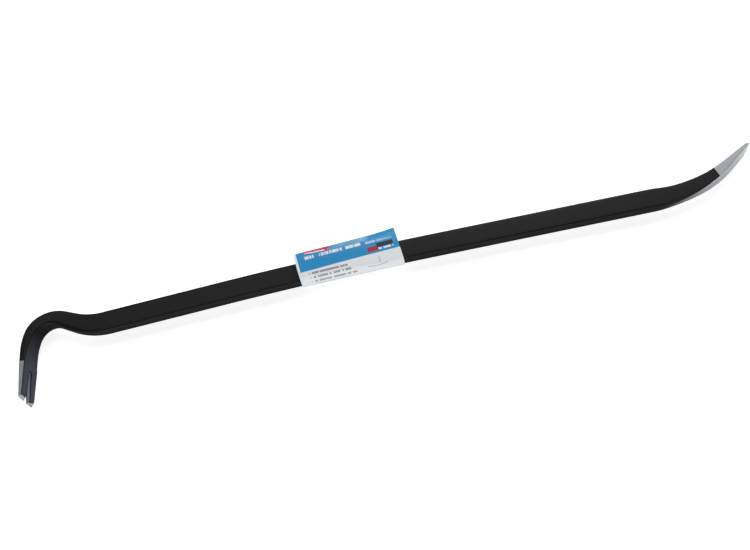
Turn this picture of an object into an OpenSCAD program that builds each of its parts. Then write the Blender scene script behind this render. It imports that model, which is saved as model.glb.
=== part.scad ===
// Gooseneck wrecking bar with a loose card sleeve round its shank.
// It lies on its side: X runs along the shank from claw to chisel, the bends lie in
// the X-Y plane, and Z is across the shank's flats. The origin is the bottom centre of the
// whole object's box. The bar is one forging, swept along a spine of straights and arcs.

/* [Shank] */
// Thickness across the flats, along Z
shank_thick = 14; // [12:0.5:16]
// Depth in the plane of the bends
shank_depth = 27; // [25:0.5:29]
// Radius of the four long edges
shank_edge_r = 3; // [2:0.5:4]
// Straight from the neck to the crown
near_len = 145.5; // [130:0.5:160]
// Length of the slight bow in the middle of the shank
crown_len = 266; // [200:2:300]
// Angle that the bow turns through
crown_turn = 2.9; // [1:0.1:4]
// Straight from the crown to the chisel's sweep
far_len = 272; // [240:0.5:290]

/* [Gooseneck] */
// Radius of the reverse bend where the neck leaves the shank
neck_r = 76.3; // [60:0.1:90]
// Angle of the reverse bend
neck_turn = 29.3; // [20:0.1:35]
// Straight between the reverse bend and the hook
arch_len = 15.2; // [8:0.1:22]
// Radius of the hook
hook_r = 29.3; // [26:0.1:36]
// Angle of the hook
hook_turn = 95.5; // [85:0.5:105]
// Radius of the gentle curve above the claw
heel_r = 80; // [60:1:100]
// Angle of the gentle curve above the claw
heel_turn = 15.7; // [8:0.1:20]

/* [Claw] */
// Length of the straight blade
claw_len = 59.6; // [54:0.1:66]
// Width of the ground blade, along Z
claw_width = 37; // [34:0.5:40]
// Length of the two ground side flats
claw_flat_len = 45.6; // [40:0.1:50]
// Thickness at the tip
claw_tip_thick = 3.4; // [3:0.1:4.5]
// Thickness where the ground flats end
claw_root_thick = 6.2; // [5:0.1:8]
// Angle of the bevel ground on the prongs' ends
claw_bevel = 20; // [10:1:30]

/* [Nail slot] */
// Length of the slot
slot_len = 37; // [30:0.5:40]
// Width of the mouth on the hook's inner face
slot_mouth_in = 10.8; // [9:0.1:12]
// Width of the mouth on the outer face
slot_mouth_out = 7.4; // [6:0.1:9]
// Width at the root on the inner face
slot_root_in = 5; // [4:0.1:6]
// Width at the root on the outer face
slot_root_out = 3.4; // [2.5:0.1:4]

/* [Chisel] */
// Radius of the first part of the sweep
sweep_r = 208; // [180:1:240]
// Angle of the first part of the sweep
sweep_turn = 15.2; // [12:0.1:18]
// Radius of the second part of the sweep
toe_r = 151; // [130:1:180]
// Angle of the second part of the sweep
toe_turn = 17; // [14:0.5:20]
// Straight at the end of the chisel
toe_len = 35.4; // [28:0.1:42]
// Width of the cutting edge, along Z
chisel_width = 31.6; // [28:0.2:35]
// Thickness of the cutting edge
edge_thick = 0.9; // [0.6:0.1:1.5]
// Length of the small bevel behind the cutting edge
edge_bevel_len = 5; // [4:0.5:7]

/* [Card sleeve] */
// Length of the sleeve along the bar
sleeve_len = 127; // [110:1:140]
// Distance from the neck to the sleeve's end, along the shank
sleeve_from_neck = 242; // [20:1:400]
// Thickness of the card
card_thick = 0.4; // [0.3:0.05:0.6]
// How far the sleeve stands off the bar's near edge
near_gap = 1.6; // [1.4:0.1:2]
// Width of the loop at the claw end, in the plane of the bends
loop_w_claw = 43; // [40:0.5:46]
// Width of the loop at the chisel end, in the plane of the bends
loop_w_chisel = 48.5; // [46:0.5:50]
// Rise of the loop above the bar's mid-plane at the claw end
loop_up_claw = 14; // [10:0.5:16]
// Rise of the loop above the bar's mid-plane at the chisel end
loop_up_chisel = 8.6; // [8:0.1:11]
// Drop of the loop below the bar's mid-plane
loop_down = 8.6; // [8:0.1:10]

/* [Seam tape] */
// Length of the clear tape that closes the sleeve underneath
tape_len = 123; // [60:1:127]
// Width of the tape
tape_w = 13; // [8:1:14]
// Distance of the tape from the loop's near edge
tape_from_near = 6.5; // [5:0.5:7]
// Thickness of the tape
tape_thick = 0.1; // [0.06:0.01:0.2]

/* [Hidden] */

X = 0;
Y = 1;
corner_steps = 3;      // facets on each rounded edge of the bar
bend_step = 3.5;       // distance between rings along a bend
shank_step = 34;       // distance between rings along a straight
sleeve_rings = 8;      // rings along the sleeve
loop_steps = 40;       // points round the sleeve
cut = 60;              // size of the cutting blocks

// The spine, from the claw's tip to the chisel's edge: [length, turn to the left in degrees]
function arc_len(r, turn) = r * turn * PI / 180;
SPINE = [
    [claw_len, 0],
    [arc_len(heel_r, heel_turn), -heel_turn],
    [arc_len(hook_r, hook_turn), -hook_turn],
    [arch_len, 0],
    [arc_len(neck_r, neck_turn), neck_turn],
    [near_len, 0],
    [crown_len, -crown_turn],
    [far_len, 0],
    [arc_len(sweep_r, sweep_turn), sweep_turn],
    [arc_len(toe_r, toe_turn), toe_turn],
    [toe_len, 0],
];
function spine_len(i) = i < 0 ? 0 : SPINE[i][0] + spine_len(i - 1);
neck_end = spine_len(4);
sweep_start = spine_len(7);
total_len = spine_len(len(SPINE) - 1);

// The claw points back past square, so that the shank's middle runs along X
claw_heading = crown_turn / 2 - neck_turn + hook_turn + heel_turn;

// One step along a straight or an arc from a pose [x, y, heading]
function advance(pose, length, turn) =
    let (a = pose[2], r = turn == 0 ? 0 : length / turn * 180 / PI)
    turn == 0
        ? [pose[X] + length * cos(a), pose[Y] + length * sin(a), a]
        : [pose[X] + r * (sin(a + turn) - sin(a)), pose[Y] - r * (cos(a + turn) - cos(a)), a + turn];
// The pose at a distance s along the spine
function spine_at(s, i = 0, pose = [0, 0, claw_heading]) =
    let (length = SPINE[i][0], turn = SPINE[i][1])
    s <= length || i == len(SPINE) - 1
        ? advance(pose, s, turn * s / length)
        : spine_at(s - length, i + 1, advance(pose, length, turn));

// The section's size along the spine: [distance, depth in the plane, width along Z, edge radius]
SECTIONS = [
    [0, claw_tip_thick, claw_width, 0.5],
    [claw_flat_len, claw_root_thick, claw_width, 0.7],
    [claw_len + 24, 11.4, 28.5, 2.6],
    [claw_len + 54, 15.8, 20.8, 3.6],
    [claw_len + 79, 20.6, 15.2, 3.6],
    [neck_end + 8, shank_depth, shank_thick, shank_edge_r],
    [sweep_start - 8, shank_depth, shank_thick, shank_edge_r],
    [sweep_start + 20, 22.1, shank_thick, 2.6],
    [total_len - 60, 14.4, 19.8, 1.4],
    [total_len - 35, 9.4, 27.6, 0.8],
    [total_len - 15, 5.4, 30.8, 0.4],
    [total_len - edge_bevel_len, 3.2, chisel_width, 0.3],
    [total_len, edge_thick, chisel_width, 0.3],
];
// A smooth curve through column k of the sections, which never overshoots them
function secant(k, i) = (SECTIONS[i + 1][k] - SECTIONS[i][k]) / (SECTIONS[i + 1][0] - SECTIONS[i][0]);
function slope(k, i) =
    i <= 0 ? secant(k, 0)
    : i >= len(SECTIONS) - 1 ? secant(k, len(SECTIONS) - 2)
    : let (a = secant(k, i - 1), b = secant(k, i)) a * b <= 0 ? 0 : 2 * a * b / (a + b);
function size_at(k, s, i = 0) =
    i < len(SECTIONS) - 2 && s > SECTIONS[i + 1][0]
        ? size_at(k, s, i + 1)
        : let (
              span = SECTIONS[i + 1][0] - SECTIONS[i][0],
              t = (s - SECTIONS[i][0]) / span,
              from = SECTIONS[i][k],
              to = SECTIONS[i + 1][k]
          )
          from * (1 + 2 * t) * (1 - t) * (1 - t) + to * t * t * (3 - 2 * t)
          + span * t * (1 - t) * ((1 - t) * slope(k, i) - t * slope(k, i + 1));

// A rounded rectangle about the spine, in [depth, Z], counter-clockwise seen from ahead
function rounded_section(a, b, r) = [
    for (corner = [0:3], k = [0:corner_steps])
        let (turn = 90 * corner + 90 * k / corner_steps, middle = 90 * corner + 45)
        [sign(cos(middle)) * (a - r) + r * cos(turn), sign(sin(middle)) * (b - r) + r * sin(turn)]
];

// Distances along the spine that get a ring: each run is split into equal steps
function run_step(i) = i >= 5 && i <= 7 ? shank_step : bend_step;
STATIONS = concat(
    [for (i = [0:len(SPINE) - 1])
        let (n = ceil(SPINE[i][0] / run_step(i)), start = spine_len(i - 1))
        for (k = [0:n - 1]) start + SPINE[i][0] * k / n],
    [total_len]
);
// Everything is known about a ring from its pose and its section
RINGS = [for (s = STATIONS) [spine_at(s), size_at(1, s) / 2, size_at(2, s) / 2, size_at(3, s)]];
function across(pose, d) = [pose[X] - d * sin(pose[2]), pose[Y] + d * cos(pose[2])];

// The sleeve's frame: it lies along the shank's tangent at the sleeve's middle
sleeve_pose = spine_at(neck_end + sleeve_from_neck + sleeve_len / 2);
sleeve_near_y = -shank_depth / 2 - near_gap;

// The whole object's outline in the X-Y plane, which sets the origin
OUTLINE = concat(
    [for (ring = RINGS, side = [-1, 1]) across(ring[0], side * ring[1])],
    [for (x = [-1, 1] * sleeve_len / 2)
        across([sleeve_pose[X] + x * cos(sleeve_pose[2]), sleeve_pose[Y] + x * sin(sleeve_pose[2]),
                sleeve_pose[2]], sleeve_near_y + (x < 0 ? loop_w_claw : loop_w_chisel))]
);
function middle_of(axis) = let (v = [for (p = OUTLINE) p[axis]]) (min(v) + max(v)) / 2;
ORIGIN_SHIFT = [-middle_of(X), -middle_of(Y), claw_width / 2];

// A solid skin through rings of points, closed at both ends
module loft(rings) {
    n = len(rings[0]);
    last = (len(rings) - 1) * n;
    polyhedron(
        points = [for (ring = rings, p = ring) p],
        faces = concat(
            [[for (j = [0:n - 1]) j]],
            [[for (j = [n - 1:-1:0]) last + j]],
            [for (i = [0:len(rings) - 2], j = [0:n - 1])
                let (a = i * n, b = a + n, k = (j + 1) % n)
                for (corners = [[a + j, b + j, b + k], [a + j, b + k, a + k]]) corners]
        ),
        convexity = 8
    );
}

// The forging before grinding: the section swept along the spine
module blank() {
    loft([for (ring = RINGS)
        [for (p = rounded_section(ring[1], ring[2], ring[3]))
            let (q = across(ring[0], p[0])) [q[X], q[Y], p[1]]]]);
}

// A tapered wedge for the nail slot, in the blade's frame: X up the blade, Y outward
slot_tool = 5;
function slot_width(w_in, w_out, y) =
    (w_in + w_out) / 2 - (w_in - w_out) / 2 * y / ((claw_tip_thick + claw_root_thick) / 4);
module slot_cutter() {
    overrun = 4;
    root = slot_len - slot_width(slot_root_in, slot_root_out, 0) / 2;
    mouth_grow = (slot_mouth_in - slot_root_in) / slot_len * overrun;
    hull() {
        for (side = [-1, 1]) {
            y = side * slot_tool;
            mouth = slot_width(slot_mouth_in, slot_mouth_out, y) + mouth_grow;
            translate([root, y, 0])
                rotate([90, 0, 0])
                    cylinder(r = slot_width(slot_root_in, slot_root_out, y) / 2, h = 0.02, center = true, $fn = 28);
            translate([-overrun, y, 0])
                cube([0.02, 0.02, mouth], center = true);
        }
    }
}

// The bevel across the prongs' ends leaves the outer edge longest
module bevel_cutter() {
    translate([0, claw_tip_thick / 2, 0])
        rotate(claw_bevel)
            translate([-cut, -cut / 2, -cut / 2])
                cube(cut);
}

// The bar: one forging with its nail slot and ground ends
module forged_bar() {
    color([0.13, 0.13, 0.135])
    translate(ORIGIN_SHIFT)
    difference() {
        blank();
        rotate(claw_heading) {
            slot_cutter();
            bevel_cutter();
        }
    }
}

// Height of the loop at a fraction u of its width, 0 at the near edge and 1 at the far fold:
// a quarter round up to `rise`, level to `level`, then falling away with the power `fall`
level = 0.5;
rise_claw = 0.25;      // the upper side, at the claw end
rise_tight = 0.05;     // the underside, and the upper side at the chisel end
fall_claw = 2;         // a round far side at the claw end
fall_chisel = 1.5;     // a pinched fold at the chisel end
function loop_height(u, rise, fall) =
    u < rise ? sqrt(1 - pow(1 - u / rise, 2))
    : u < level ? 1
    : pow(max(0, 1 - pow((u - level) / (1 - level), fall)), 1 / fall);
function mix(a, b, t) = a + (b - a) * t;

// Point j of the loop at a fraction t of the sleeve's length, `inset` inside the card's face
function loop_point(j, t, inset) =
    let (
        turn = 360 * j / loop_steps,
        u = (1 - cos(turn)) / 2,
        w = mix(loop_w_claw, loop_w_chisel, t),
        up = turn <= 180,
        high = (up ? mix(loop_up_claw, loop_up_chisel, t) : loop_down) - inset,
        rise = up ? mix(rise_claw, rise_tight, t) : rise_tight,
        h = high * loop_height(u, rise, mix(fall_claw, fall_chisel, t))
    )
    [sleeve_near_y + inset + u * (w - 2 * inset), up ? h : -h];
function loop_ring(i, inset, js) =
    let (t = i / sleeve_rings)
    [for (j = js) let (p = loop_point(j, t, inset)) [(t - 0.5) * sleeve_len, p[0], p[1]]];

module at_sleeve() {
    translate(ORIGIN_SHIFT)
        translate([sleeve_pose[X], sleeve_pose[Y], 0])
            rotate(sleeve_pose[2])
                children();
}

// Rings of an open-ended tube, walked out along the outer skin and back along the inner one
module tube(outer, inner) {
    n = len(outer[0]);
    m = len(outer);
    grid = concat(outer, [for (i = [m - 1:-1:0]) inner[i]]);
    polyhedron(
        points = [for (ring = grid, p = ring) p],
        faces = [for (i = [0:2 * m - 1], j = [0:n - 1])
            let (a = i * n, b = ((i + 1) % (2 * m)) * n, k = (j + 1) % n)
            for (corners = [[a + j, b + k, b + j], [a + j, a + k, b + k]]) corners],
        convexity = 8
    );
}

// The printed card, joined into a loose loop
module card_sleeve() {
    all_round = [for (j = [0:loop_steps - 1]) j];
    color([0.16, 0.55, 0.75])
    at_sleeve()
    tube(
        [for (i = [0:sleeve_rings]) loop_ring(i, 0, all_round)],
        [for (i = [0:sleeve_rings]) loop_ring(i, card_thick, all_round)]
    );
}

// Clear tape over the card's join, on the level part of the underside
module seam_tape() {
    color([0.85, 0.85, 0.8])
    at_sleeve()
    translate([-tape_len / 2, sleeve_near_y + tape_from_near, -loop_down - tape_thick])
        cube([tape_len, tape_w, tape_thick]);
}

forged_bar();
card_sleeve();
seam_tape();
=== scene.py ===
"""Gooseneck wrecking bar in satin black paint, with a loose printed card sleeve round its shank.

Lengths below are millimetres and angles degrees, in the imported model's own frame. MM turns them
into Blender's metres. The bar is swept along the same spine of straights and arcs as the CAD model.
"""

import math

import bmesh
import bpy
import numpy as np
from mathutils import Matrix, Vector, noise


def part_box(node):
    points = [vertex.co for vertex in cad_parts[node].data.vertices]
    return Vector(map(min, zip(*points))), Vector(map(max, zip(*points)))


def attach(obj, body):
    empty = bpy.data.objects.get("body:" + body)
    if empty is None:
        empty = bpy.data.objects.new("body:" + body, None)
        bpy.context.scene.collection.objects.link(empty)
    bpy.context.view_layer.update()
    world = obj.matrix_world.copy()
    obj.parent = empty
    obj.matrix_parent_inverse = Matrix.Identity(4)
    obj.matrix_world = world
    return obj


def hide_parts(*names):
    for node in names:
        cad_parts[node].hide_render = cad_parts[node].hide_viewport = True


MM = 0.001

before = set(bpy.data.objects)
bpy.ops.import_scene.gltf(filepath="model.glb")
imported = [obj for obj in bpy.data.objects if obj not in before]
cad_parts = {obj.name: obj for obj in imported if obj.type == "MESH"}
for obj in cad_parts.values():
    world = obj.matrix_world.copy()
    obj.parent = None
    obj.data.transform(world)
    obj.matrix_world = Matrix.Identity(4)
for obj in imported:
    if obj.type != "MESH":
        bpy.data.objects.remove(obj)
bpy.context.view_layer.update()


# ---------------------------------------------------------------- camera


def add_camera():
    """Looks down across the bar from its claw's open side, rolled so that the shank climbs."""
    lens = 48
    elevation = 63.57
    yaw = 0.352
    roll = 13.2
    distance = 1226.5
    aim = Vector((-21.6, 11.9, 0))
    data = bpy.data.cameras.new("camera")
    data.lens = lens
    data.clip_start = 0.01
    data.clip_end = 50
    camera = bpy.data.objects.new("camera", data)
    bpy.context.scene.collection.objects.link(camera)
    turn = (
        Matrix.Rotation(math.radians(yaw), 4, "Z")
        @ Matrix.Rotation(math.radians(90 - elevation), 4, "X")
        @ Matrix.Rotation(math.radians(-roll), 4, "Z")
    )
    back = turn @ Vector((0, 0, 1))
    camera.matrix_world = Matrix.Translation((aim + back * distance) * MM) @ turn
    bpy.context.scene.camera = camera


# ---------------------------------------------------------------- the bar's spine and sections

# From the claw's tip to where the hook starts, and the angle that the shank is bowed by
CLAW_LEN = 59.6
SHANK_BOW = 2.9


def arc(radius, turn):
    """A run of the spine that turns by so many degrees at a radius."""
    return radius * math.radians(abs(turn)), turn


# The spine, from the claw's tip to the chisel's edge: (length, turn to the left)
SPINE = [
    (CLAW_LEN, 0),
    # the hook, and the gooseneck that brings the bar back
    arc(80, -15.7),
    arc(29.3, -95.5),
    (15.2, 0),
    arc(76.3, 29.3),
    # the shank, bowed in its middle
    (145.5, 0),
    (266.0, -SHANK_BOW),
    (272.0, 0),
    # the sweep up to the chisel
    arc(208, 15.2),
    arc(151, 17),
    (35.4, 0),
]
# The shank's runs, of which the second is its bow
SHANK_RUNS = (5, 6, 7)
# The middle of the bow points along X
CLAW_HEADING = SHANK_BOW / 2 - sum(turn for _, turn in SPINE[: SHANK_RUNS[1]])
STARTS = np.concatenate([[0], np.cumsum([length for length, _ in SPINE])])
NECK_END = STARTS[SHANK_RUNS[0]]
SWEEP_START = STARTS[SHANK_RUNS[-1] + 1]
TOTAL = STARTS[-1]


def advance(pose, length, turn):
    """The pose (x, y, heading) after a straight or an arc; turn is in radians."""
    x, y, a = pose
    if abs(turn) < 1e-9:
        return x + length * math.cos(a), y + length * math.sin(a), a
    r = length / turn
    b = a + turn
    return x + r * (math.sin(b) - math.sin(a)), y - r * (math.cos(b) - math.cos(a)), b


def spine_poses():
    """The pose at the start of each run of the spine."""
    poses = [(0.0, 0.0, math.radians(CLAW_HEADING))]
    for length, turn in SPINE:
        poses.append(advance(poses[-1], length, math.radians(turn)))
    return poses


POSES = spine_poses()


def spine_at(s):
    """The pose at a distance s along the spine."""
    i = int(np.clip(np.searchsorted(STARTS, s, "right") - 1, 0, len(SPINE) - 1))
    length, turn = SPINE[i]
    part = s - STARTS[i]
    return advance(POSES[i], part, math.radians(turn) * part / length)


def spine_coords(points):
    """For points (n, 2) near the spine: their distance along it and their offset to its left."""
    # the first and last runs reach on past the bar's ends
    far, joint = 1e9, 0.01
    along = np.zeros(len(points))
    left = np.full(len(points), far)
    for i, (length, turn) in enumerate(SPINE):
        x, y, a = POSES[i]
        ahead = np.array([math.cos(a), math.sin(a)])
        side = np.array([-math.sin(a), math.cos(a)])
        offset = points - np.array([x, y])
        if turn == 0:
            s, d = offset @ ahead, offset @ side
        else:
            r = length / math.radians(turn)
            from_centre = offset - r * side
            angle = np.arctan2(from_centre @ ahead * np.sign(r), -(from_centre @ side) * np.sign(r))
            s, d = r * angle, r - np.sign(r) * np.hypot(*from_centre.T)
        low = -far if i == 0 else -joint
        high = far if i == len(SPINE) - 1 else length + joint
        better = (s >= low) & (s <= high) & (np.abs(d) < np.abs(left))
        along = np.where(better, STARTS[i] + s, along)
        left = np.where(better, d, left)
    return along, left


# Where the paint stops at the ground faces; the chisel's rounded underside is ground from UNDER_START
CLAW_LINE = CLAW_LEN - 13.4
CHISEL_LINE = TOTAL - 56.2
UNDER_START = TOTAL - 150.0
# How far before and after such a line the next rings of the mesh stand
BEFORE_LINE, AFTER_LINE = 0.4, 0.5

CLAW_WIDE = 37.0
SHANK_DEPTH = 27.0
SHANK_THICK = 14.0
# The chisel's last bevel: its length, and the depth where it starts and at the edge
EDGE_BEVEL = 5.0
BEVEL_DEPTH = 3.2
EDGE_DEPTH = 0.9

# (distance, depth in the plane of the bends, width along Z, edge radius left, edge radius right)
# Left is the outside of the hook and the hollow side of the chisel
SECTIONS = [
    (0, 3.4, CLAW_WIDE, 0.3, 0.3),
    (CLAW_LINE - BEFORE_LINE, 6.2, CLAW_WIDE, 0.4, 0.4),
    (CLAW_LINE + AFTER_LINE, 6.25, CLAW_WIDE, 1.0, 2.2),
    (CLAW_LEN + 24, 11.4, 28.5, 1.8, 3.0),
    (CLAW_LEN + 54, 15.8, 20.8, 2.6, 3.8),
    (CLAW_LEN + 79, 20.6, 15.2, 3.6, 4.2),
    (NECK_END + 8, SHANK_DEPTH, SHANK_THICK, 3, 3),
    (SWEEP_START - 8, SHANK_DEPTH, SHANK_THICK, 3, 3),
    (SWEEP_START + 20, 22.1, SHANK_THICK, 2.6, 0.8),
    (TOTAL - 60, 14.4, 19.8, 1.6, 0.5),
    (CHISEL_LINE + 0.6, 13.4, 21.3, 0.6, 0.4),
    (TOTAL - 35, 9.4, 27.6, 0.4, 0.4),
    (TOTAL - 15, 5.4, 30.8, 0.4, 0.4),
    (TOTAL - EDGE_BEVEL, BEVEL_DEPTH, 31.6, 0.3, 0.3),
    (TOTAL, EDGE_DEPTH, 31.6, 0.3, 0.3),
]


def smooth_column(k, s):
    """Column k of the sections at s, on a smooth curve that never overshoots them."""
    x = np.array([row[0] for row in SECTIONS], float)
    y = np.array([row[k] for row in SECTIONS], float)
    rise = np.diff(y) / np.diff(x)
    product = rise[1:] * rise[:-1]
    # each inner slope is the harmonic mean of its neighbours, or level at a peak or a trough
    inner = np.where(product <= 0, 0, 2 * product / (rise[1:] + rise[:-1] + 1e-12))
    slope = np.concatenate([[rise[0]], inner, [rise[-1]]])
    i = np.clip(np.searchsorted(x, s, "right") - 1, 0, len(x) - 2)
    span = x[i + 1] - x[i]
    t = (s - x[i]) / span
    return (
        y[i] * (1 + 2 * t) * (1 - t) ** 2
        + y[i + 1] * t**2 * (3 - 2 * t)
        + span * t * (1 - t) * ((1 - t) * slope[i] - t * slope[i + 1])
    )


def outer_swell(s):
    """How far the hook's outer side stands proud of the sections, which the CAD leaves out."""
    distances = (0, 15, 45, 70, 110, 150, 190)
    heights = (0, 0.4, 1.1, 0.8, 0.7, 0.4, 0)
    return np.interp(s, distances, heights)


EDGE_FACETS = 7
FLAT_STEPS = 4


def section_outline(a, b, r_left, r_right):
    """Points (across, z) of a section with half depth a and half width b, counter-clockwise."""
    corners = [(1, 1, r_left), (-1, 1, r_right), (-1, -1, r_right), (1, -1, r_left)]
    arcs = []
    for i, (sx, sz, r) in enumerate(corners):
        r = min(r, 0.98 * a, 0.98 * b)
        turn = np.radians(90 * (i + np.arange(EDGE_FACETS + 1) / EDGE_FACETS))
        arcs.append(np.stack([sx * (a - r) + r * np.cos(turn), sz * (b - r) + r * np.sin(turn)], 1))
    outline = []
    for i, points in enumerate(arcs):
        after = arcs[(i + 1) % 4][0]
        steps = np.arange(1, FLAT_STEPS)[:, None] / FLAT_STEPS
        outline += [points, points[-1] + (after - points[-1]) * steps]
    return np.concatenate(outline)


def stations():
    """Distances along the spine that get a ring, with three at each line where the finish changes."""
    bend_step, shank_step, clear = 1.4, 5.0, 0.9
    found = [TOTAL]
    for i, (length, _) in enumerate(SPINE):
        n = math.ceil(length / (shank_step if i in SHANK_RUNS else bend_step))
        found += list(STARTS[i] + length * np.arange(n) / n)
    for line in (CLAW_LINE, CHISEL_LINE, TOTAL - EDGE_BEVEL):
        found = [s for s in found if abs(s - line) > clear]
        found += [line - BEFORE_LINE, line, line + AFTER_LINE]
    return np.array(sorted(s for s in found if s <= TOTAL))


# ---------------------------------------------------------------- mesh helpers


def link_mesh(name, points, faces):
    """A new object from points in millimetres."""
    mesh = bpy.data.meshes.new(name)
    mesh.from_pydata((np.asarray(points) * MM).tolist(), [], faces)
    mesh.validate()
    made = bpy.data.objects.new(name, mesh)
    bpy.context.scene.collection.objects.link(made)
    return made


def lofted(rings):
    """Points and faces of a closed skin through rings of points, with a cap at each end."""
    n = len(rings[0])
    points = np.concatenate(rings)
    last = (len(rings) - 1) * n
    faces = [list(range(n))[::-1], [last + j for j in range(n)]]
    for i in range(len(rings) - 1):
        for j in range(n):
            k = (j + 1) % n
            faces.append([i * n + j, i * n + k, i * n + n + k, i * n + n + j])
    return points, faces


def fix_normals(obj):
    """Turns every face of a closed mesh outward."""
    work = bmesh.new()
    work.from_mesh(obj.data)
    bmesh.ops.recalc_face_normals(work, faces=work.faces)
    work.to_mesh(obj.data)
    work.free()


def cut_away(obj, cutters):
    """Takes the cutters' volume out of obj, and deletes them."""
    for cutter in cutters:
        fix_normals(cutter)
        modifier = obj.modifiers.new("cut", "BOOLEAN")
        modifier.operation = "DIFFERENCE"
        modifier.solver = "EXACT"
        modifier.object = cutter
    depsgraph = bpy.context.evaluated_depsgraph_get()
    result = bpy.data.meshes.new_from_object(obj.evaluated_get(depsgraph))
    obj.modifiers.clear()
    obj.data = result
    for cutter in cutters:
        bpy.data.objects.remove(cutter)


def smooth_shade(obj, sharp_angle):
    """Shades obj smooth, except across edges sharper than an angle in degrees."""
    obj.data.shade_smooth()
    obj.data.set_sharp_from_angle(angle=math.radians(sharp_angle))


def store(obj, name, values, domain="POINT"):
    """Gives obj an attribute with a value for each point or face, for its material to read."""
    attribute = obj.data.attributes.new(name, "FLOAT", domain)
    attribute.data.foreach_set("value", np.asarray(values, np.float32))


def vertex_array(mesh):
    """The mesh's points as an array (n, 3)."""
    flat = np.zeros(len(mesh.vertices) * 3, np.float32)
    mesh.vertices.foreach_get("co", flat)
    return flat.reshape(-1, 3).astype(float)


# ---------------------------------------------------------------- the bar

SLOT_LEN = 37.0
# The slot's width on the hook's inner face, whose rims are bevelled; the CAD leaves the bevels out
MOUTH_IN, ROOT_IN = 12.6, 6.4
MOUTH_OUT, ROOT_OUT = 6.8, 3.0
PRONG_THICK = 3.4


def bar_blank():
    """The forging before the slot is cut, with its claw's tip at the origin of the spine."""
    sway_share, sway_run = 0.006, 22
    true_at_claw, true_at_chisel, fade_run = 60, 80, 40
    edge_skew, skew_run = 1.7, 20
    s = stations()
    depth, width, r_left, r_right = (smooth_column(k, s) for k in (1, 2, 3, 4))
    rings = []
    for i, distance in enumerate(s):
        x, y, a = spine_at(distance)
        # the rolled faces aren't quite true, except near the ground ends
        sway = noise.noise(Vector((distance / sway_run, 3.1, 0.5)))
        past_ends = min(distance - true_at_claw, TOTAL - true_at_chisel - distance)
        fade = np.clip(past_ends / fade_run, 0, 1)
        half = depth[i] / 2 * (1 - sway_share * fade * abs(sway))
        across, z = section_outline(half, width[i] / 2, r_left[i], r_right[i]).T
        across = across + outer_swell(distance) * (across > 0)
        if distance > TOTAL - EDGE_BEVEL:
            # the last bevel is ground on the hollow side only, so the other face runs on
            across += (depth[i] - BEVEL_DEPTH) / 2
        # the cutting edge is ground a little askew
        near_edge = max(0, 1 - (TOTAL - distance) / skew_run)
        ahead = edge_skew * near_edge * (z / width[i] - 0.5)
        ring_x = x - across * math.sin(a) + ahead * math.cos(a)
        ring_y = y + across * math.cos(a) + ahead * math.sin(a)
        rings.append(np.stack([ring_x, ring_y, z], 1))
    return link_mesh("pry_bar", *lofted(rings))


def in_blade(points):
    """From the blade's frame (X up the blade, Y outward) to the spine's."""
    a = math.radians(CLAW_HEADING)
    x, y, z = np.asarray(points, float).T
    return np.stack([x * math.cos(a) - y * math.sin(a), x * math.sin(a) + y * math.cos(a), z], 1)


def slot_width(w_in, w_out, y):
    """The slot's width at an offset y from the blade's middle, from its widths on the two faces."""
    mean_half_depth = 2.4
    return (w_in + w_out) / 2 - (w_in - w_out) / 2 * y / mean_half_depth


def slot_cutter():
    """A tapered wedge with a round root, wider on the hook's inner face."""
    reach, overrun, facets = 5.0, 4.0, 20
    rings = []
    for y in (-reach, reach):
        radius = slot_width(ROOT_IN, ROOT_OUT, y) / 2
        root = SLOT_LEN - slot_width(ROOT_IN, ROOT_OUT, 0) / 2
        mouth = (slot_width(MOUTH_IN, MOUTH_OUT, y) + (MOUTH_IN - ROOT_IN) / SLOT_LEN * overrun) / 2
        lean = math.asin((mouth - radius) / (root + overrun))
        turn = np.linspace(-math.pi / 2 + lean, math.pi / 2 - lean, facets + 1)
        bow = np.stack([root + radius * np.cos(turn), np.full(facets + 1, y), radius * np.sin(turn)], 1)
        rings.append(in_blade([[-overrun, y, mouth], [-overrun, y, -mouth], *bow]))
    return link_mesh("slot_cutter", *lofted(rings))


def prong_cutter(low, high, name):
    """Grinds one prong's end back from its outer edge, further at its low side: a twisted face."""
    back_low, back_high = 5.3, 2.0
    edge_start, edge_slant = 0.45, 0.05
    # how far the cutter reaches past the blade's faces, the prong's sides and the claw's tip
    reach, overrun, beyond = 6.0, 3.4, 14
    steps = 6
    rings = []
    for z in np.linspace(low - overrun, high + overrun, steps + 1):
        share = (z - low) / (high - low)
        back = (back_low + (back_high - back_low) * share) / PRONG_THICK
        start = edge_start + edge_slant * z
        edge = [[start + back * (PRONG_THICK / 2 - y), y, z] for y in (-reach, 0, reach)]
        rings.append(in_blade([*edge, [-beyond, reach, z], [-beyond, -reach, z]]))
    return link_mesh(name, *lofted(rings))


def merge_close_points(obj):
    """Joins the points that the cuts left almost on top of each other."""
    closest = 0.02 * MM
    work = bmesh.new()
    work.from_mesh(obj.data)
    bmesh.ops.remove_doubles(work, verts=work.verts, dist=closest)
    bmesh.ops.dissolve_degenerate(work, edges=work.edges, dist=closest)
    work.to_mesh(obj.data)
    work.free()


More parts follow.
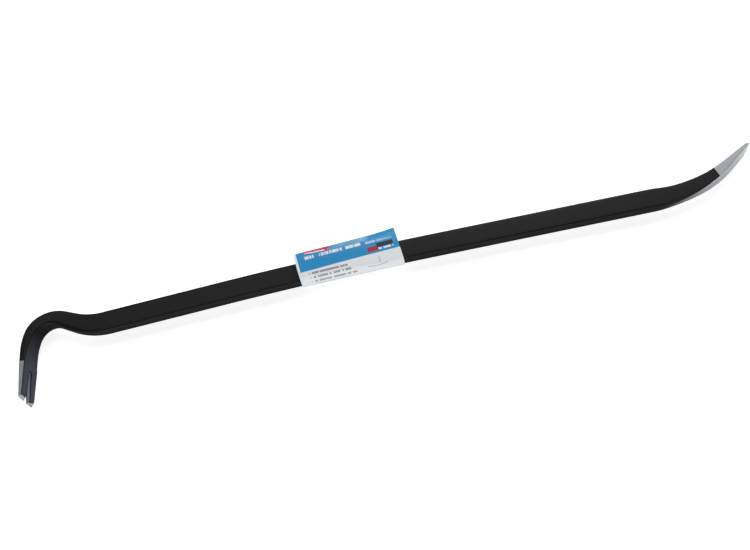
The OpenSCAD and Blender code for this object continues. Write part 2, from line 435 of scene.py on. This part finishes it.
def bar_attributes(obj, shift):
    """Stores what the bar's material reads.

    Each point gets its distance along and across the spine, and its shares of the section's half
    depth and half width. Each face is marked if it is a prong's ground end or a wall of the slot.
    """
    place = vertex_array(obj.data) / MM - shift
    along, across = spine_coords(place[:, :2])
    on_bar = np.clip(along, 0, TOTAL)
    half_depth = smooth_column(1, on_bar) / 2 + outer_swell(along) * (across > 0)
    store(obj, "along", along)
    store(obj, "across", across)
    store(obj, "across_share", across / half_depth)
    store(obj, "side_share", place[:, 2] / (smooth_column(2, on_bar) / 2))
    claw_reach, end_reach, wall_reach = 60, 7, 6.2
    heading = math.radians(CLAW_HEADING)
    down = Vector((-math.cos(heading), -math.sin(heading), 0))
    prong_end, slot_wall = [], []
    for face in obj.data.polygons:
        x, y, z = np.array(face.center) / MM - shift
        s = -x * down.x - y * down.y
        in_claw = s < SLOT_LEN + 0.5 and abs(x) + abs(y) < claw_reach
        faces_down = face.normal.dot(down) > 0.3
        is_end = in_claw and s < end_reach and faces_down
        is_inner = in_claw and abs(z) < wall_reach and (faces_down or abs(face.normal.z) > 0.5)
        prong_end.append(is_end)
        slot_wall.append(is_inner and not is_end)
    store(obj, "prong_end", prong_end, "FACE")
    store(obj, "slot_wall", slot_wall, "FACE")


def build_bar():
    """The bar, and the shift in millimetres from its spine's frame to the model's."""
    bar = bar_blank()
    fix_normals(bar)
    # the chisel's edge is the CAD bar's high corner in X and Y, and the claw's side is its low Z
    x, y, a = spine_at(TOTAL)
    half_edge = EDGE_DEPTH / 2
    corner = Vector((x + half_edge * math.sin(a), y + half_edge * math.cos(a), -CLAW_WIDE / 2))
    low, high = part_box("forged_bar")
    shift = np.array(Vector((high.x, high.y, low.z)) - corner * MM)
    prong_in, prong_out = 4.5, CLAW_WIDE / 2
    cut_away(
        bar,
        [
            slot_cutter(),
            prong_cutter(prong_in, prong_out, "upper_prong_cutter"),
            prong_cutter(-prong_out, -prong_in, "lower_prong_cutter"),
        ],
    )
    merge_close_points(bar)
    bar.data.transform(Matrix.Translation(shift))
    smooth_shade(bar, 32)
    bar_attributes(bar, shift / MM)
    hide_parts("forged_bar")
    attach(bar, "bar")
    return bar, shift / MM


# ---------------------------------------------------------------- the card sleeve

SLEEVE_LEN = 127.0
SLEEVE_FROM_NECK = 242.0
CARD_THICK = 0.4
# The fold on the claw's open side stands a little clear of the shank. The card's outer end lies under
# the loop, at a distance from that fold, and its inner end runs on past it by the overlap
NEAR_FOLD = -SHANK_DEPTH / 2 - 1.6
JOIN_FROM_NEAR = 14.5
OVERLAP = 10.0
# The inner end is raised by TUCK, easing in over an angle round the loop before the join
TUCK = CARD_THICK + 0.08
TUCK_FROM, TUCK_OVER = 0.25, 0.22
# The most that the card stands out of true
CRUMPLE = 0.5

# The loop's section at the claw's end and at the chisel's: its width, its heights above and below the
# shank's middle, the share of its width in which it rises, and how squarely it falls to the far fold
LOOP = {
    "width": (43.0, 48.5),
    "up": (14.0, 8.6),
    "down": (8.6, 8.6),
    "rise": (0.25, 0.05),
    "fall": (2.0, 1.5),
}
# How far round from the card's outer edge the print's panels meet, at the claw's end and the chisel's
PRINT_LINE = (39.7, 49.0)


def mixed(pair, t):
    """The value a share t of the way from the pair's first to its second."""
    return pair[0] + (pair[1] - pair[0]) * t


def loop_height(u, rise, fall):
    """The loop's height over its width: a quarter round, a level stretch, then falling to the fold."""
    level = 0.5
    climb = np.sqrt(np.clip(1 - (1 - u / rise) ** 2, 0, 1))
    drop = np.clip(1 - (np.clip(u - level, 0, None) / (1 - level)) ** fall, 0, 1) ** (1 / fall)
    return np.where(u < rise, climb, np.where(u < level, 1, drop))


def loop_point(turn, t):
    """A point of the loop, in the sleeve's frame, at an angle round it and a share t of its length."""
    u = (1 - np.cos(turn)) / 2
    up = np.sin(turn) >= 0
    rise = np.where(up, mixed(LOOP["rise"], t), LOOP["rise"][1])
    high = np.where(up, mixed(LOOP["up"], t), -mixed(LOOP["down"], t))
    y = NEAR_FOLD + u * mixed(LOOP["width"], t)
    return y, high * loop_height(u, rise, mixed(LOOP["fall"], t))


def turn_under(from_near):
    """The angle round the loop of a place on the underside, as a distance from the near fold."""
    return 2 * math.pi - math.acos(1 - 2 * from_near / LOOP["width"][0])


def even_turns(start, end, step):
    """Angles from start to end that lie evenly spaced along the card."""
    dense = np.linspace(start, end, 4000)  # far finer than any step
    y, z = loop_point(dense, 0.5)
    run = np.concatenate([[0], np.cumsum(np.hypot(np.diff(y), np.diff(z)))])
    n = round(run[-1] / step)
    return np.interp(np.linspace(0, run[-1], n + 1), run, dense)


def thick_sheet(name, outer, thickness):
    """A sheet of even thickness under a grid (rows, columns, 3) of points on its outer face."""
    down_rows = np.gradient(outer, axis=0)
    down_columns = np.gradient(outer, axis=1)
    normal = np.cross(down_rows, down_columns)
    normal /= np.linalg.norm(normal, axis=2, keepdims=True)
    inner = outer - normal * thickness
    rows, columns = outer.shape[:2]
    size = rows * columns
    index = np.arange(size).reshape(rows, columns)
    faces, inside = [], []
    for i in range(rows - 1):
        for j in range(columns - 1):
            quad = [index[i, j], index[i + 1, j], index[i + 1, j + 1], index[i, j + 1]]
            faces += [quad, [size + q for q in quad[::-1]]]
            inside += [0, 1]
    rim = [*index[0, :], *index[1:, -1], *index[-1, -2::-1], *index[-2:0:-1, 0]]
    for a, b in zip(rim, rim[1:] + rim[:1]):
        faces.append([a, b, size + b, size + a])
        inside.append(0.5)
    made = link_mesh(name, np.concatenate([outer.reshape(-1, 3), inner.reshape(-1, 3)]), faces)
    store(made, "inside", inside, "FACE")
    return made


def to_sleeve_frame(grid, shift):
    """From the sleeve's own frame, whose origin is the middle of the shank inside it, to the model's."""
    x, y, a = spine_at(NECK_END + SLEEVE_FROM_NECK + SLEEVE_LEN / 2)
    out = np.empty_like(grid)
    out[..., 0] = x + grid[..., 0] * math.cos(a) - grid[..., 1] * math.sin(a)
    out[..., 1] = y + grid[..., 0] * math.sin(a) + grid[..., 1] * math.cos(a)
    out[..., 2] = grid[..., 2]
    return out + shift


def card_grid(turns, tuck, length=SLEEVE_LEN):
    """Points of the card's outer face: turns round the loop, raised by tuck, and rows along it."""
    step = 2.0
    skew = (3.8, 3.6)
    flare, flare_start, pinch = 1.8, 0.75, 0.8
    rows = np.linspace(0, 1, round(length / step) + 1)
    grid = np.empty((len(rows), len(turns), 3))
    for i, row in enumerate(rows):
        t = 0.5 + (row - 0.5) * length / SLEEVE_LEN
        y, z = loop_point(turns, t)
        far = (y - NEAR_FOLD) / mixed(LOOP["width"], t)
        # the loop is pulled askew, so its far fold lies nearer the claw
        x = (t - 0.5) * SLEEVE_LEN - far * mixed(skew, t)
        # it flares at the chisel's end and is pinched at the claw's
        flared = flare * max(0, (t - flare_start) / (1 - flare_start)) ** 2
        grid[i] = np.stack([x, y + far * (flared - pinch * (1 - t) ** 2), z + tuck], 1)
    return grid


def crumpled(grid):
    """Card is never quite flat: it stands out a little here and there."""
    out = grid.copy()
    middle_y = SHANK_DEPTH / 2 + 4
    half_width, half_height = 24, 9
    wave_x, wave_y, wave_z, lift = 38, 17, 12, 0.35
    for i in range(grid.shape[0]):
        for j in range(grid.shape[1]):
            x, y, z = grid[i, j]
            wave = noise.noise(Vector((x / wave_x, y / wave_y, z / wave_z + 4)))
            away = np.array([0, (y - middle_y) / half_width, z / half_height])
            out[i, j] += away / max(np.linalg.norm(away), 0.3) * CRUMPLE * max(0, wave + lift)
    return out


def build_sleeve(shift):
    """The printed card, from its outer end round to its inner end, tucked inside the outer."""
    step = 0.75
    join = turn_under(JOIN_FROM_NEAR)
    turns = even_turns(join - 2 * math.pi, turn_under(JOIN_FROM_NEAR - OVERLAP), step)
    ease = np.clip((turns - join + TUCK_FROM) / TUCK_OVER, 0, 1)
    grid = crumpled(card_grid(turns, TUCK * ease * ease * (3 - 2 * ease)))
    sleeve = thick_sheet("printed_sleeve", to_sleeve_frame(grid, shift), CARD_THICK)
    rows = grid.shape[0]
    u = np.repeat(np.linspace(0, SLEEVE_LEN, rows), len(turns))
    steps = np.linalg.norm(np.diff(grid[..., 1:], axis=1), axis=2)
    v = np.concatenate([np.zeros((rows, 1)), np.cumsum(steps, axis=1)], axis=1)
    # the print isn't square with the card's edge: its two panels meet along this slant
    v = (v - np.linspace(*PRINT_LINE, rows)[:, None]).ravel()
    store(sleeve, "card_u", np.tile(u, 2))
    store(sleeve, "card_v", np.tile(v, 2))
    smooth_shade(sleeve, 40)
    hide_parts("card_sleeve")
    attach(sleeve, "sleeve")
    return sleeve


# ---------------------------------------------------------------- the clear tape


def build_tape(shift):
    """Clear tape over the card's join, stepping down off its edge."""
    tape_len, tape_wide, from_near, film, gap = 123.0, 13.0, 6.5, 0.06, 0.04
    step, step_down = 0.5, 0.06
    turns = even_turns(turn_under(from_near + tape_wide), turn_under(from_near), step)
    join = turn_under(JOIN_FROM_NEAR)
    tuck = TUCK * np.clip((turns - join + TUCK_FROM) / TUCK_OVER, 0, 1)
    grid = crumpled(card_grid(turns, tuck * np.clip((join - turns) / step_down, 0, 1), tape_len))
    grid[..., 2] -= film + gap
    tape = thick_sheet("join_tape", to_sleeve_frame(grid, shift), film)
    smooth_shade(tape, 50)
    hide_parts("seam_tape")
    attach(tape, "sleeve")
    return tape


# ---------------------------------------------------------------- shader helpers


class Graph:
    """Short ways to write a material's nodes."""

    def __init__(self, name):
        self.material = bpy.data.materials.new(name)
        self.material.use_nodes = True
        self.tree = self.material.node_tree
        self.tree.nodes.clear()
        self.shader = self.tree.nodes.new("ShaderNodeBsdfPrincipled")
        output = self.tree.nodes.new("ShaderNodeOutputMaterial")
        self.tree.links.new(self.shader.outputs[0], output.inputs["Surface"])

    def put(self, socket, value):
        """Links a socket to an input, or sets the input's value."""
        if isinstance(value, bpy.types.NodeSocket):
            self.tree.links.new(value, socket)
        else:
            socket.default_value = value

    def set(self, **values):
        """Values or sockets for the Principled shader; an underscore stands for a space."""
        for name, value in values.items():
            self.put(self.shader.inputs[name.replace("_", " ")], value)

    def math(self, operation, *values):
        node = self.tree.nodes.new("ShaderNodeMath")
        node.operation = operation
        for socket, value in zip(node.inputs, values):
            self.put(socket, value)
        return node.outputs[0]

    def attribute(self, name):
        node = self.tree.nodes.new("ShaderNodeAttribute")
        node.attribute_name = name
        return node.outputs["Fac"]

    def vector(self, x, y, z):
        node = self.tree.nodes.new("ShaderNodeCombineXYZ")
        for socket, value in zip(node.inputs, (x, y, z)):
            self.put(socket, value)
        return node.outputs[0]

    def noise(self, vector, scale, detail=2.0, roughness=0.5):
        node = self.tree.nodes.new("ShaderNodeTexNoise")
        self.put(node.inputs["Vector"], vector)
        self.put(node.inputs["Scale"], scale)
        self.put(node.inputs["Detail"], detail)
        self.put(node.inputs["Roughness"], roughness)
        return node.outputs["Fac"]

    def object_position(self):
        """The place in metres, so a noise scale of 1000 gives grain of about a millimetre."""
        node = self.tree.nodes.new("ShaderNodeTexCoord")
        return node.outputs["Object"]

    def scaled(self, value, low, high, to_low, to_high):
        """value moved from the range low..high to the range to_low..to_high, and kept in it."""
        node = self.tree.nodes.new("ShaderNodeMapRange")
        for socket, number in zip(node.inputs, (value, low, high, to_low, to_high)):
            self.put(socket, number)
        return node.outputs[0]

    def mix(self, share, a, b):
        """The colour or value that lies a share of the way from a to b."""
        factor, first_colour, second_colour, mixed_colour = 0, 6, 7, 2
        node = self.tree.nodes.new("ShaderNodeMix")
        node.data_type = "RGBA"
        self.put(node.inputs[factor], share)
        self.put(node.inputs[first_colour], a)
        self.put(node.inputs[second_colour], b)
        return node.outputs[mixed_colour]

    def between(self, value, low, high, blur=0.25):
        """1 where value lies between low and high, fading over blur at each end."""
        rise = self.scaled(value, low - blur, low + blur, 0.0, 1.0)
        fall = self.scaled(value, high - blur, high + blur, 1.0, 0.0)
        return self.math("MULTIPLY", rise, fall)

    def block(self, u, v, left, right, low, high):
        """1 inside a rectangle of the print."""
        return self.math("MULTIPLY", self.between(u, left, right), self.between(v, low, high))

    def greeked(self, u, v, left, right, low, high, word, seed):
        """A row of plain bars, each about a word long, which stands for a line of words."""
        strokes_per_word = 5.0
        run = self.vector(self.math("DIVIDE", u, word), seed, 0.0)
        words = self.scaled(self.noise(run, 1.0, 0.0), 0.32, 0.36, 0.0, 1.0)
        strokes = self.vector(self.math("MULTIPLY", u, strokes_per_word / word), seed, v)
        print_weight = self.scaled(self.noise(strokes, 1.0, 1.0), 0.35, 0.5, 0.45, 1.0)
        row = self.block(u, v, left, right, low, high)
        return self.math("MULTIPLY", self.math("MULTIPLY", row, words), print_weight)

    def bump(self, height, distance, strength):
        node = self.tree.nodes.new("ShaderNodeBump")
        self.put(node.inputs["Height"], height)
        self.put(node.inputs["Distance"], distance)
        self.put(node.inputs["Strength"], strength)
        return node.outputs[0]


def colour(red, green, blue):
    """An sRGB colour, 0 to 255, as the linear value that a shader takes."""
    parts = [c / 255 for c in (red, green, blue)]
    return (*[c / 12.92 if c <= 0.04045 else ((c + 0.055) / 1.055) ** 2.4 for c in parts], 1.0)


# ---------------------------------------------------------------- materials


def bar_material():
    """Satin black paint, with brushed bare steel where the claw and the chisel were ground after it."""
    g = Graph("bar_paint_and_steel")
    along, across = g.attribute("along"), g.attribute("across")
    across_share, side_share = g.attribute("across_share"), g.attribute("side_share")
    prong_end, slot_wall = g.attribute("prong_end"), g.attribute("slot_wall")
    place = g.object_position()
    # which face of the section this is: one of the two sides, or the right, under the hook and chisel
    on_side = g.math("GREATER_THAN", g.math("ABSOLUTE", side_share), g.math("ABSOLUTE", across_share))
    on_right = g.math("LESS_THAN", across_share, 0.0)
    under = g.math("MULTIPLY", g.math("SUBTRACT", 1.0, on_side), on_right)
    # every line between paint and steel wanders a little
    wobble = g.math("MULTIPLY", g.math("SUBTRACT", g.noise(place, 900), 0.5), 0.5)
    where = g.math("ADD", along, wobble)
    # the claw's side flats keep black paint on their inner rims, as painted shade for the rounded edge;
    # the prongs' ends are bare
    claw_flat = g.math("MULTIPLY", on_side, g.math("LESS_THAN", where, CLAW_LINE))
    claw_flat = g.math("MULTIPLY", claw_flat, g.math("GREATER_THAN", across_share, -0.62))
    claw_bare = g.math("MAXIMUM", claw_flat, prong_end)
    claw_bare = g.math("MULTIPLY", claw_bare, g.math("SUBTRACT", 1.0, slot_wall))
    # the chisel's sides and hollow face are bare beyond a line ground slightly askew
    askew = g.math("MULTIPLY", across, 0.13)
    chisel_bare = g.math("GREATER_THAN", g.math("SUBTRACT", where, askew), CHISEL_LINE)
    # the chisel's rounded underside is bare for longer, beyond a long slanting line
    reach = g.math("SUBTRACT", where, UNDER_START)
    slant = g.scaled(side_share, -0.8, 1.25, 0.0, CHISEL_LINE - UNDER_START)
    under_bare = g.math("MULTIPLY", under, g.math("GREATER_THAN", reach, slant))
    bare = g.math("MAXIMUM", claw_bare, g.math("MAXIMUM", chisel_bare, under_bare))
    # grinding lines run along the blade, and the underside's steel darkens towards its start
    lines = g.vector(g.math("MULTIPLY", along, 0.05), g.math("MULTIPLY", across, 3.0), 0.0)
    streaks = g.noise(lines, 1.6, 4.0, 0.62)
    fine = g.noise(place, 5200, 2.0)
    blotch = g.noise(place, 160, 3.0, 0.6)
    # the darkening is painted shade for the underside's dimmer reflection there, and partly a lighter
    # skim of the grind
    skim_and_painted_shade = g.scaled(reach, 18.0, 96.0, 0.1, 1.0)
    skim_and_painted_shade = g.math("MAXIMUM", skim_and_painted_shade, g.math("SUBTRACT", 1.0, under))
    bright = g.math("MULTIPLY", g.scaled(streaks, 0.3, 0.7, 0.86, 1.08), skim_and_painted_shade)
    # the side flats get a darker steel: painted shade, so the light above doesn't burn them out
    flat = g.math("MULTIPLY", on_side, g.math("SUBTRACT", 1.0, prong_end))
    steel = g.mix(flat, colour(244, 247, 252), colour(156, 159, 164))
    steel = g.mix(prong_end, steel, colour(208, 213, 220))
    steel = g.mix(bright, colour(0, 0, 0), steel)
    grain = g.scaled(blotch, 0.3, 0.7, 0.0, 1.0)
    paint = g.mix(grain, colour(17, 17, 19), colour(24, 24, 27))
    # the paint is lighter and bluer on the hook's inner face near the claw's tip: a painted reflection
    # of the floor beside it
    painted_floor_reflection = g.math("MULTIPLY", under, g.scaled(along, 45.0, 90.0, 1.0, 0.0))
    paint = g.mix(painted_floor_reflection, paint, colour(62, 67, 76))
    # the slot's rolled-over rims are painted darker: painted shade on their bevels
    narrowing = (MOUTH_IN - ROOT_IN) / 2 / SLOT_LEN
    half_slot = g.math("SUBTRACT", MOUTH_IN / 2, g.math("MULTIPLY", along, narrowing))
    off_centre = g.math("MULTIPLY", g.math("ABSOLUTE", side_share), CLAW_WIDE / 2)
    off_rim = g.math("SUBTRACT", off_centre, half_slot)
    beside_slot = g.scaled(along, SLOT_LEN + 1, SLOT_LEN + 2, 1.0, 0.0)
    rim = g.math("MULTIPLY", g.scaled(off_rim, 1.0, 1.8, 1.0, 0.0), beside_slot)
    paint = g.mix(g.math("MULTIPLY", rim, under), paint, colour(14, 15, 22))
    # the slot's walls are pale grey away from its rims: partly thin paint, partly painted light for
    # walls deep in the slot's shade; their margins by the rims stay dark as painted shade
    misted_and_painted_light = g.between(across_share, -0.6, 0.6, 0.2)
    paint = g.mix(g.math("MULTIPLY", slot_wall, misted_and_painted_light), paint, colour(122, 127, 140))
    paint_roughness = g.scaled(blotch, 0.3, 0.7, 0.38, 0.5)
    steel_roughness = g.scaled(streaks, 0.3, 0.7, 0.46, 0.62)
    paint_relief = g.math("ADD", g.math("MULTIPLY", fine, 0.4), blotch)
    g.set(
        Base_Color=g.mix(bare, paint, steel),
        Metallic=bare,
        Roughness=g.mix(bare, paint_roughness, steel_roughness),
        Normal=g.bump(g.mix(bare, paint_relief, streaks), 0.1 * MM, 0.6),
        Specular_IOR_Level=0.13,
    )
    return g.material


# The print is laid out in millimetres: u along the card from its claw's end, and v up from the line
# where its panels meet. The headline's blocks of bars are (left, right, seed)
HEADLINE = ((12.2, 23.6, 4.1), (30.2, 59.2, 6.3), (63.3, 82.2, 2.9))
# (middle, left, right, height, word length, seed, darkness) of each row of small print
SMALL_PRINT = (
    (-4.9, 16.0, 60.0, 2.6, 3.2, 2.2, 0.75),
    (-10.4, 16.5, 64.0, 2.8, 3.2, 5.6, 0.75),
    (-17.0, 17.0, 69.0, 3.2, 3.0, 8.4, 0.7),
    (-23.0, 17.0, 60.0, 1.8, 2.6, 11.9, 0.4),
)


def card_material():
    """Laminated print in blue and pale grey, with plain bars where words would be."""
    g = Graph("printed_card")
    u, v = g.attribute("card_u"), g.attribute("card_v")
    outside = g.math("LESS_THAN", g.attribute("inside"), 0.2)
    white, ink = colour(236, 239, 242), colour(60, 62, 68)
    # a blue panel over a pale one, with a white border at the claw's end
    blue = g.math("MULTIPLY", g.between(v, 0.0, 47.0), g.math("GREATER_THAN", u, 3.0))
    face = g.mix(blue, colour(232, 236, 240), colour(6, 140, 198))
    # the heading: a red ribbon, then two white lines of which the second is worn
    ribbon_v = g.math("ADD", v, g.math("MULTIPLY", g.math("SUBTRACT", u, 12.4), 0.09))
    face = g.mix(g.block(u, ribbon_v, 12.4, 44.2, 24.8, 38.0), face, colour(206, 44, 72))
    face = g.mix(g.greeked(u, ribbon_v, 13.9, 42.7, 25.2, 27.6, 5.5, 1.3), face, white)
    for left, right, seed in HEADLINE:
        face = g.mix(g.greeked(u, v, left, right, 15.6, 20.4, 1.7, seed), face, white)
    worn = g.scaled(u, 88.0, 122.0, 0.75, 0.15)
    second = g.greeked(u, v, 88.0, 121.0, 15.4, 18.6, 5.0, 7.7)
    face = g.mix(g.math("MULTIPLY", second, worn), face, white)
    # two plain blocks and a bar
    face = g.mix(g.block(u, v, 88.0, 101.0, 2.8, 9.6), face, colour(172, 30, 56))
    face = g.mix(g.block(u, v, 100.0, 120.5, 6.6, 13.0), face, colour(22, 38, 46))
    face = g.mix(g.greeked(u, v, 101.5, 120.0, 3.2, 6.0, 4.0, 9.2), face, white)
    # rows of small print that slant a little
    row_v = g.math("ADD", v, g.math("MULTIPLY", g.math("SUBTRACT", u, 38.0), 0.035))
    for middle, left, right, tall, word, seed, dark in SMALL_PRINT:
        row = g.greeked(u, row_v, left, right, middle - tall / 2, middle + tall / 2, word, seed)
        face = g.mix(g.math("MULTIPLY", row, dark), face, ink)
    # all of them but the last start with a dot
    for middle, *_ in SMALL_PRINT[:-1]:
        dot = g.block(u, row_v, 12.4, 13.8, middle - 0.8, middle + 0.8)
        face = g.mix(g.math("MULTIPLY", dot, 0.6), face, ink)
    # a faint line drawing: a shallow curve with an upright over it
    off_middle = g.math("SUBTRACT", u, 96.0)
    rise = g.math("MULTIPLY", g.math("MULTIPLY", off_middle, off_middle), 0.012)
    curve = g.between(g.math("SUBTRACT", v, rise), -17.6, -16.2, 0.4)
    curve = g.math("MULTIPLY", curve, g.between(u, 83.0, 108.0))
    upright = g.block(u, v, 98.2, 99.8, -14.5, -5.5)
    face = g.mix(g.math("MULTIPLY", curve, 0.45), face, ink)
    face = g.mix(g.math("MULTIPLY", upright, 0.28), face, ink)
    # a painted glare in pale streaks along the far fold, standing in for the laminate's reflection of
    # the light
    glare_streaks = g.noise(g.vector(g.math("MULTIPLY", u, 0.03), g.math("MULTIPLY", v, 0.35), 2.0), 1.0, 3.0)
    far_side = g.math("MULTIPLY", g.scaled(v, 19.0, 26.0, 0.0, 1.0), g.between(u, 44.0, 92.0, 3.0))
    # haze here is the painted glare's strength
    haze = g.math("MULTIPLY", g.scaled(glare_streaks, 0.38, 0.62, 0.05, 0.5), far_side)
    face = g.mix(haze, face, colour(205, 214, 224))
    # the card's plain inside
    fibre = g.noise(g.object_position(), 2600, 3.0)
    plain = g.mix(fibre, colour(196, 190, 178), colour(212, 207, 196))
    g.set(
        Base_Color=g.mix(outside, plain, face),
        Roughness=g.scaled(fibre, 0.3, 0.7, 0.42, 0.5),
        Specular_IOR_Level=0.2,
        Coat_Weight=g.math("MULTIPLY", outside, 0.08),
        Coat_Roughness=0.14,
        Normal=g.bump(g.noise(g.object_position(), 60, 3.0), 0.6 * MM, 0.5),
    )
    return g.material


def tape_material():
    """Clear film, hazy in places and slightly yellowed."""
    g = Graph("clear_tape_film")
    haze = g.noise(g.object_position(), 350, 3.0)
    g.set(
        Base_Color=colour(235, 233, 220),
        Roughness=g.scaled(haze, 0.3, 0.7, 0.12, 0.3),
        Alpha=g.scaled(haze, 0.3, 0.7, 0.28, 0.42),
    )
    return g.material


# ---------------------------------------------------------------- floor and light


def add_floor():
    """A matt white floor, overexposed to plain white where the camera sees it."""
    size = 1700
    corners = [[-size, -size, 0], [size, -size, 0], [size, size, 0], [-size, size, 0]]
    floor = link_mesh("floor", corners, [[0, 1, 2, 3]])
    g = Graph("white_floor")
    seen = g.tree.nodes.new("ShaderNodeLightPath").outputs["Is Camera Ray"]
    g.set(Base_Color=(0.8, 0.8, 0.8, 1.0), Roughness=0.9, Specular_IOR_Level=0.1)
    g.set(Emission_Color=(1.0, 1.0, 1.0, 1.0), Emission_Strength=g.math("MULTIPLY", seen, 0.74))
    floor.data.materials.append(g.material)


def add_area_light(name, place, aim, size, power):
    """A rectangle of light of a size at a place, in millimetres, with its power in watts."""
    data = bpy.data.lights.new(name, "AREA")
    data.shape = "RECTANGLE"
    data.size, data.size_y = size[0] * MM, size[1] * MM
    data.energy = power
    light = bpy.data.objects.new(name, data)
    bpy.context.scene.collection.objects.link(light)
    light.location = Vector(place) * MM
    light.rotation_euler = (Vector(aim) - Vector(place)).to_track_quat("-Z", "Y").to_euler()
    light.visible_camera = False


def add_world():
    """A white room: bright where the camera sees it, but giving the object little light."""
    world = bpy.data.worlds.new("studio")
    bpy.context.scene.world = world
    world.use_nodes = True
    nodes, links = world.node_tree.nodes, world.node_tree.links
    nodes.clear()
    seen = nodes.new("ShaderNodeBackground")
    seen.inputs["Strength"].default_value = 1.05
    lit = nodes.new("ShaderNodeBackground")
    lit.inputs["Strength"].default_value = 0.1
    for background in (seen, lit):
        background.inputs["Color"].default_value = (1.0, 1.0, 1.0, 1.0)
    path = nodes.new("ShaderNodeLightPath")
    mix = nodes.new("ShaderNodeMixShader")
    output = nodes.new("ShaderNodeOutputWorld")
    links.new(path.outputs["Is Camera Ray"], mix.inputs[0])
    links.new(lit.outputs[0], mix.inputs[1])
    links.new(seen.outputs[0], mix.inputs[2])
    links.new(mix.outputs[0], output.inputs["Surface"])


def add_light():
    """A low key light from behind, a broad one overhead and a low front one for the near faces."""
    add_world()
    add_area_light("key", (600, 1900, 1150), (0, 0, 0), (1500, 900), 28)
    add_area_light("overhead", (100, 750, 1300), (100, 750, 0), (2200, 1000), 12.5)
    add_area_light("front", (-200, -1900, 360), (0, 0, 0), (2400, 700), 31)
    bpy.context.scene.view_settings.view_transform = "Standard"


# ---------------------------------------------------------------- the scene

add_camera()
add_light()
add_floor()
bar, SPINE_SHIFT = build_bar()
bar.data.materials.clear()
bar.data.materials.append(bar_material())
sleeve = build_sleeve(SPINE_SHIFT)
sleeve.data.materials.append(card_material())
tape = build_tape(SPINE_SHIFT)
tape.data.materials.append(tape_material())
